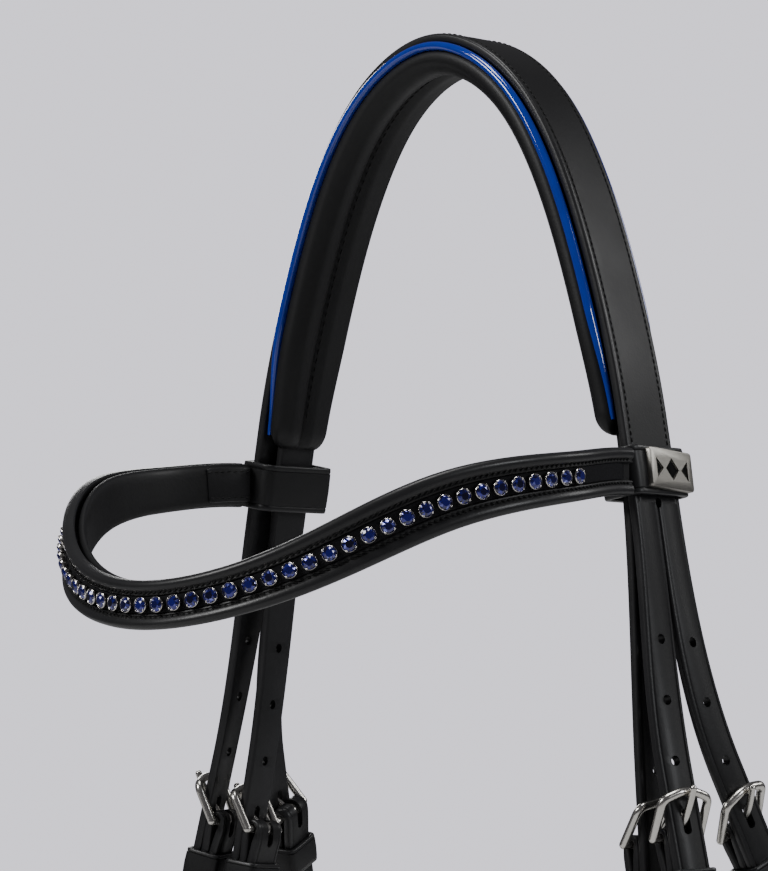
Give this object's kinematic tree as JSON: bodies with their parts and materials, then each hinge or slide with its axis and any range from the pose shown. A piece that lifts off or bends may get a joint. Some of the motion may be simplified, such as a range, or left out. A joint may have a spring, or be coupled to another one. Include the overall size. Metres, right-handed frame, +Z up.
{
  "type": "snaffle bridle",
  "caption": "Snaffle bridle with padded headpiece, shaped browband with a row of blue crystals, cheekpieces, throatlash and buckled noseband, without bit and reins.",
  "frame": {"origin": "poll seat: underside of the headpiece padding at the top of the arch", "axes": "+Z up, -Y towards the horse's nose, +X towards the horse's left"},
  "size_m": [0.251, 0.2496, 0.5121],
  "materials": {
    "black_leather": "satin bridle leather, fine grain",
    "padding_leather": "soft padded leather",
    "channel_leather": "black suede strip",
    "blue_patent": "glossy patent piping",
    "polished_nickel": "polished nickel plate",
    "brushed_nickel": "brushed nickel plate",
    "setting_metal": "bright metal cups",
    "crystal": "faceted sapphire blue"
  },
  "bodies": {
    "headpiece": {"chin_keeper": "black_leather", "chin_strap_left": "black_leather", "chin_strap_right": "black_leather", "headpiece_padding": "padding_leather", "headpiece_piping_front": "blue_patent", "headpiece_piping_rear": "blue_patent", "headpiece_strap": "black_leather", "nose_band": "black_leather", "nose_band_padding": "padding_leather", "noseband_billet_left": "black_leather", "noseband_billet_right": "black_leather", "noseband_cheek_strap_left": "black_leather", "noseband_cheek_strap_right": "black_leather", "noseband_keeper_left": "black_leather", "noseband_keeper_right": "black_leather", "throatlash_keeper_left": "black_leather", "throatlash_keeper_right": "black_leather", "throatlash_strap": "black_leather"},
    "browband": {"badge_plate": "brushed_nickel", "badge_rivets": "brushed_nickel", "browband_leather": "black_leather", "browband_lining": "padding_leather", "browband_loop_left": "black_leather", "browband_loop_right": "black_leather", "crystal_channel": "channel_leather", "crystal_settings": "setting_metal", "crystals": "crystal"},
    "cheekpiece_left": {"cheekpiece_left": "black_leather", "cheek_billet_end_left": "black_leather", "cheek_keeper_left": "black_leather", "hook_stud_left": "polished_nickel", "bit_keeper_left": "black_leather"},
    "cheekpiece_right": {"cheekpiece_right": "black_leather", "cheek_billet_end_right": "black_leather", "cheek_keeper_right": "black_leather", "hook_stud_right": "polished_nickel", "bit_keeper_right": "black_leather"},
    "cheek_buckle_frame_left": {"cheek_buckle_frame_left": "polished_nickel"},
    "cheek_buckle_tongue_left": {"cheek_buckle_tongue_left": "polished_nickel"},
    "cheek_runner_left": {"cheek_runner_left": "black_leather"},
    "cheek_buckle_frame_right": {"cheek_buckle_frame_right": "polished_nickel"},
    "cheek_buckle_tongue_right": {"cheek_buckle_tongue_right": "polished_nickel"},
    "cheek_runner_right": {"cheek_runner_right": "black_leather"},
    "throatlash_buckle_frame_left": {"throatlash_buckle_frame_left": "polished_nickel"},
    "throatlash_buckle_tongue_left": {"throatlash_buckle_tongue_left": "polished_nickel"},
    "throatlash_runner_left": {"throatlash_runner_left": "black_leather"},
    "throatlash_buckle_frame_right": {"throatlash_buckle_frame_right": "polished_nickel"},
    "throatlash_buckle_tongue_right": {"throatlash_buckle_tongue_right": "polished_nickel"},
    "throatlash_runner_right": {"throatlash_runner_right": "black_leather"},
    "noseband_buckle_frame_left": {"noseband_buckle_frame_left": "polished_nickel"},
    "noseband_buckle_tongue_left": {"noseband_buckle_tongue_left": "polished_nickel"},
    "noseband_runner_left": {"noseband_runner_left": "black_leather"},
    "noseband_buckle_frame_right": {"noseband_buckle_frame_right": "polished_nickel"},
    "noseband_buckle_tongue_right": {"noseband_buckle_tongue_right": "polished_nickel"},
    "noseband_runner_right": {"noseband_runner_right": "black_leather"},
    "chin_buckle_frame": {"chin_buckle_frame": "polished_nickel"},
    "chin_buckle_tongue": {"chin_buckle_tongue": "polished_nickel"},
    "chin_runner": {"chin_runner": "black_leather"}
  },
  "joints": [
    {"name": "browband_slide", "type": "slide", "parent": "headpiece", "child": "browband", "axis": [0, 0, 1], "range_m": [-0.002, 0.004]},
    {"name": "cheekpiece_swing_left", "type": "hinge", "parent": "headpiece", "child": "cheekpiece_left", "pos_m": [0.09542, -0.01018, -0.22689], "axis": [-0.2755, -0.9608, -0.0304], "range_deg": [-1.5, 12]},
    {"name": "cheekpiece_swing_right", "type": "hinge", "parent": "headpiece", "child": "cheekpiece_right", "pos_m": [-0.09542, -0.01018, -0.22689], "axis": [-0.2755, 0.9608, 0.0304], "range_deg": [-1.5, 12]},
    {"name": "cheek_frame_tilt_left", "type": "hinge", "parent": "cheekpiece_left", "child": "cheek_buckle_frame_left", "pos_m": [0.09484, -0.00948, -0.24357], "axis": [0.2755, 0.9608, 0.0304], "range_deg": [0, 5]},
    {"name": "cheek_tongue_lift_left", "type": "hinge", "parent": "cheek_buckle_frame_left", "child": "cheek_buckle_tongue_left", "pos_m": [0.09484, -0.00948, -0.24357], "axis": [0.2755, 0.9608, 0.0304], "range_deg": [0, 6]},
    {"name": "cheek_runner_slide_left", "type": "slide", "parent": "cheekpiece_left", "child": "cheek_runner_left", "axis": [-0.2424, 0.0388, 0.9694], "range_m": [-0.006, 0.012]},
    {"name": "cheek_frame_tilt_right", "type": "hinge", "parent": "cheekpiece_right", "child": "cheek_buckle_frame_right", "pos_m": [-0.09484, -0.00948, -0.24357], "axis": [0.2755, -0.9608, -0.0304], "range_deg": [0, 5]},
    {"name": "cheek_tongue_lift_right", "type": "hinge", "parent": "cheek_buckle_frame_right", "child": "cheek_buckle_tongue_right", "pos_m": [-0.09484, -0.00948, -0.24357], "axis": [0.2755, -0.9608, -0.0304], "range_deg": [0, 6]},
    {"name": "cheek_runner_slide_right", "type": "slide", "parent": "cheekpiece_right", "child": "cheek_runner_right", "axis": [0.2424, 0.0388, 0.9694], "range_m": [-0.006, 0.012]},
    {"name": "throatlash_frame_tilt_left", "type": "hinge", "parent": "headpiece", "child": "throatlash_buckle_frame_left", "pos_m": [0.09462, 0.0232, -0.24197], "axis": [0.1281, 0.9117, 0.3903], "range_deg": [0, 5]},
    {"name": "throatlash_tongue_lift_left", "type": "hinge", "parent": "throatlash_buckle_frame_left", "child": "throatlash_buckle_tongue_left", "pos_m": [0.09462, 0.0232, -0.24197], "axis": [0.1281, 0.9117, 0.3903], "range_deg": [0, 6]},
    {"name": "throatlash_runner_slide_left", "type": "slide", "parent": "headpiece", "child": "throatlash_runner_left", "axis": [-0.1826, -0.3651, 0.9129], "range_m": [-0.006, 0.012]},
    {"name": "throatlash_frame_tilt_right", "type": "hinge", "parent": "headpiece", "child": "throatlash_buckle_frame_right", "pos_m": [-0.09462, 0.0232, -0.24197], "axis": [0.1281, -0.9117, -0.3903], "range_deg": [0, 5]},
    {"name": "throatlash_tongue_lift_right", "type": "hinge", "parent": "throatlash_buckle_frame_right", "child": "throatlash_buckle_tongue_right", "pos_m": [-0.09462, 0.0232, -0.24197], "axis": [0.1281, -0.9117, -0.3903], "range_deg": [0, 6]},
    {"name": "throatlash_runner_slide_right", "type": "slide", "parent": "headpiece", "child": "throatlash_runner_right", "axis": [0.1826, -0.3651, 0.9129], "range_m": [-0.006, 0.012]},
    {"name": "noseband_frame_tilt_left", "type": "hinge", "parent": "headpiece", "child": "noseband_buckle_frame_left", "pos_m": [0.08051, -0.00572, -0.24668], "axis": [0.1733, 0.9827, -0.0659], "range_deg": [0, 5]},
    {"name": "noseband_tongue_lift_left", "type": "hinge", "parent": "noseband_buckle_frame_left", "child": "noseband_buckle_tongue_left", "pos_m": [0.08051, -0.00572, -0.24668], "axis": [0.1733, 0.9827, -0.0659], "range_deg": [0, 6]},
    {"name": "noseband_runner_slide_left", "type": "slide", "parent": "headpiece", "child": "noseband_runner_left", "axis": [-0.1284, 0.0889, 0.9877], "range_m": [-0.006, 0.012]},
    {"name": "noseband_frame_tilt_right", "type": "hinge", "parent": "headpiece", "child": "noseband_buckle_frame_right", "pos_m": [-0.08051, -0.00572, -0.24668], "axis": [0.1733, -0.9827, 0.0659], "range_deg": [0, 5]},
    {"name": "noseband_tongue_lift_right", "type": "hinge", "parent": "noseband_buckle_frame_right", "child": "noseband_buckle_tongue_right", "pos_m": [-0.08051, -0.00572, -0.24668], "axis": [0.1733, -0.9827, 0.0659], "range_deg": [0, 6]},
    {"name": "noseband_runner_slide_right", "type": "slide", "parent": "headpiece", "child": "noseband_runner_right", "axis": [0.1284, 0.0889, 0.9877], "range_m": [-0.006, 0.012]},
    {"name": "chin_frame_tilt", "type": "hinge", "parent": "headpiece", "child": "chin_buckle_frame", "pos_m": [-0.006, 0.076, -0.43], "axis": [0, 0, -1], "range_deg": [0, 5]},
    {"name": "chin_tongue_lift", "type": "hinge", "parent": "chin_buckle_frame", "child": "chin_buckle_tongue", "pos_m": [-0.006, 0.076, -0.43], "axis": [0, 0, -1], "range_deg": [0, 6]},
    {"name": "chin_runner_slide", "type": "slide", "parent": "headpiece", "child": "chin_runner", "axis": [-1, 0, 0], "range_m": [-0.006, 0.012]}
  ]
}
